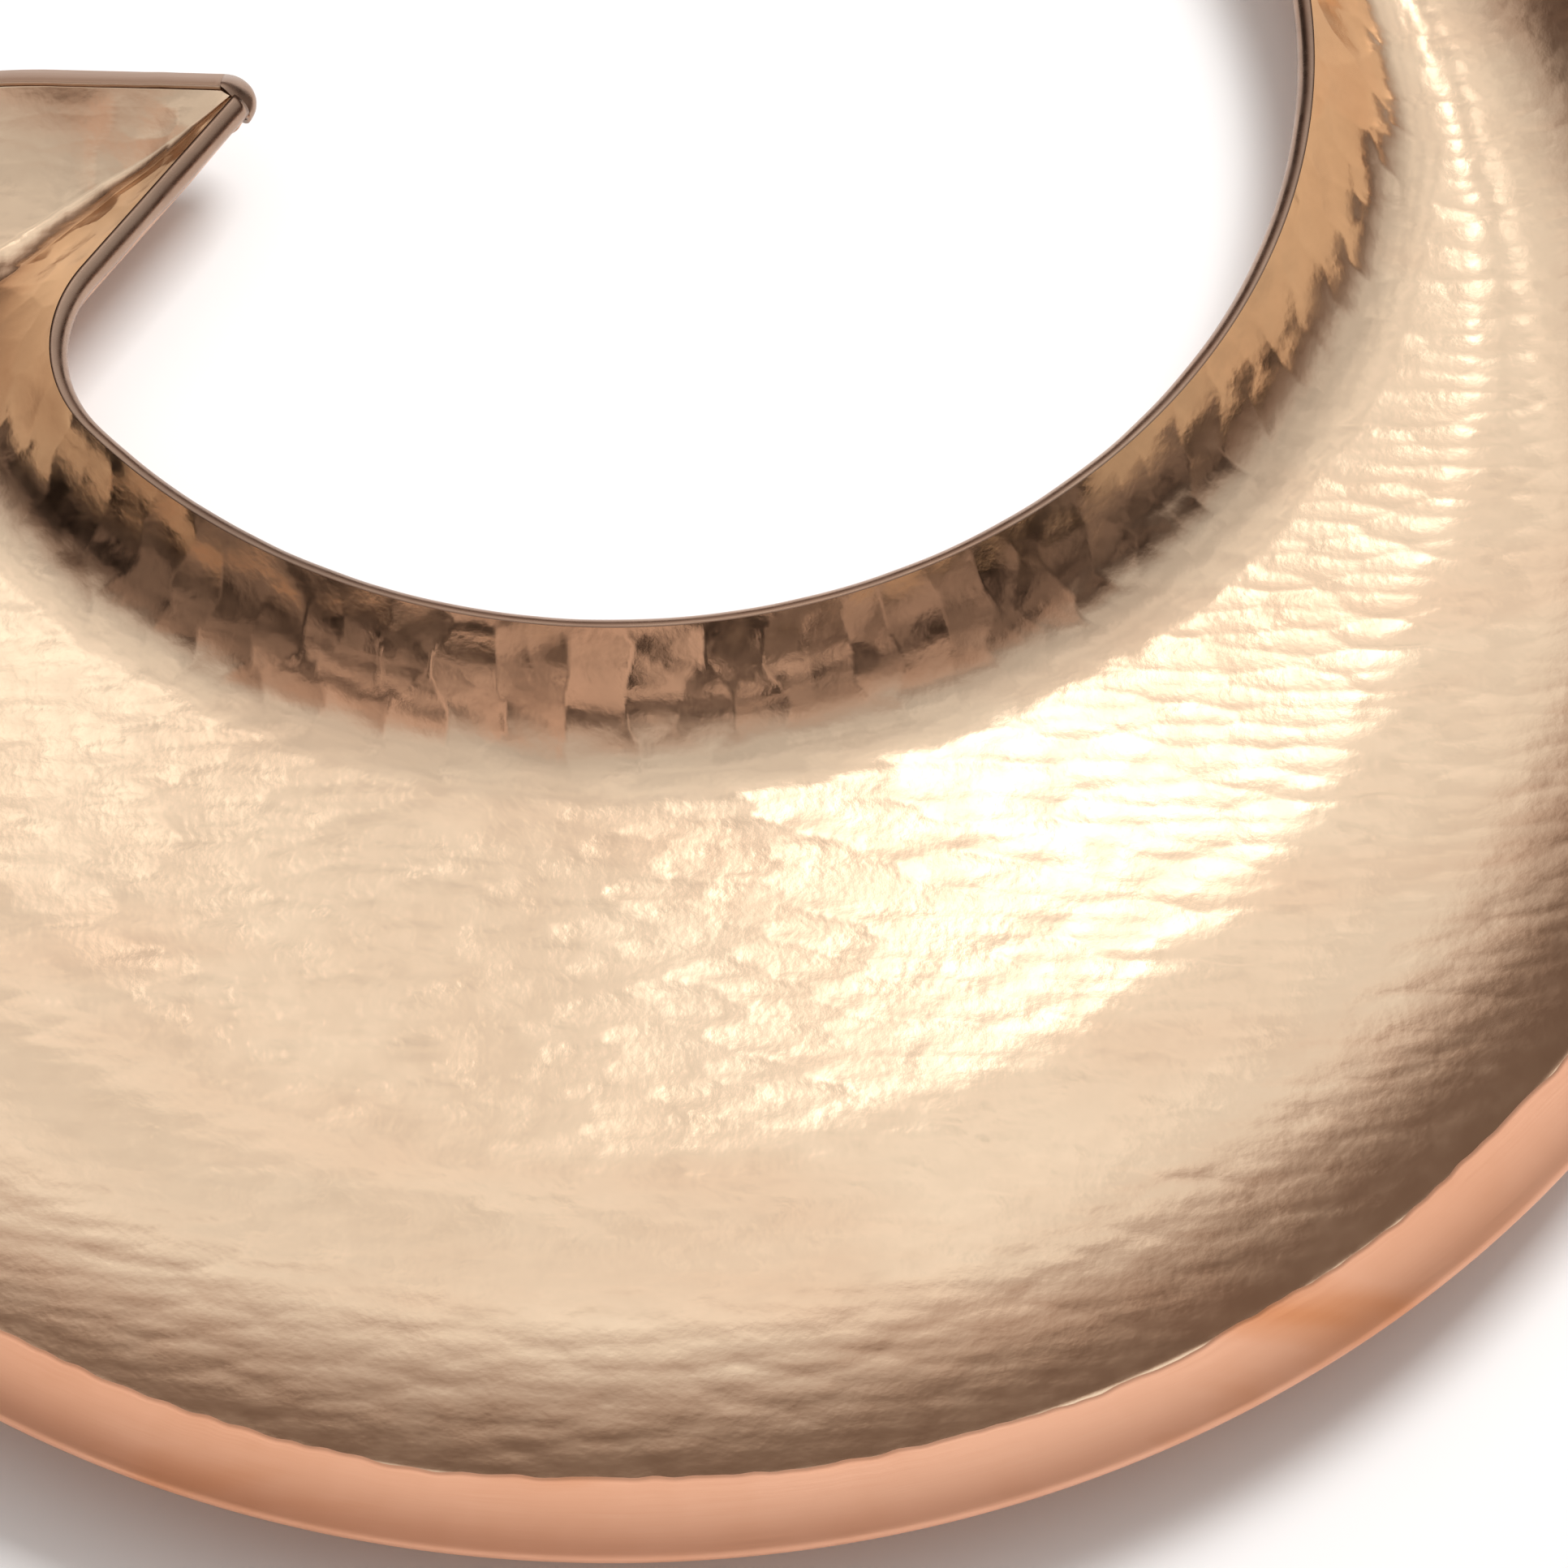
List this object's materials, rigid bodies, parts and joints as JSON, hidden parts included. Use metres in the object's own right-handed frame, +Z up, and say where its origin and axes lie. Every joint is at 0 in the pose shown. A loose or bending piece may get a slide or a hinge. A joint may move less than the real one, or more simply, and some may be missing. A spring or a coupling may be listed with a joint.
{
  "type": "decorative bowl",
  "caption": "Hammered copper centrepiece bowl: an open crescent trough with a smooth rolled lip, one end curled round into its mouth.",
  "frame": {"origin": "middle of the footprint box, on the table plane the base rests on", "axes": "+Z up out of the dish; +X towards the plain right side of the crescent; +Y towards the open side, where the arm's tip is"},
  "size_m": [0.3386, 0.3292, 0.02],
  "materials": {
    "hammered_copper": "polished",
    "smooth_copper": "satin",
    "wall_copper": "satin",
    "rim_wire": "satin"
  },
  "bodies": {
    "root": {"hammered_dish": "hammered_copper", "mouth_edge_bead": "hammered_copper", "belly_lip": "smooth_copper", "horn_tip_cap": "hammered_copper", "arm_tip_cap": "hammered_copper", "belly_rim_wire": "rim_wire", "belly_side_wall": "wall_copper", "mouth_side_wall": "wall_copper", "base_plate": "wall_copper"}
  },
  "joints": []
}
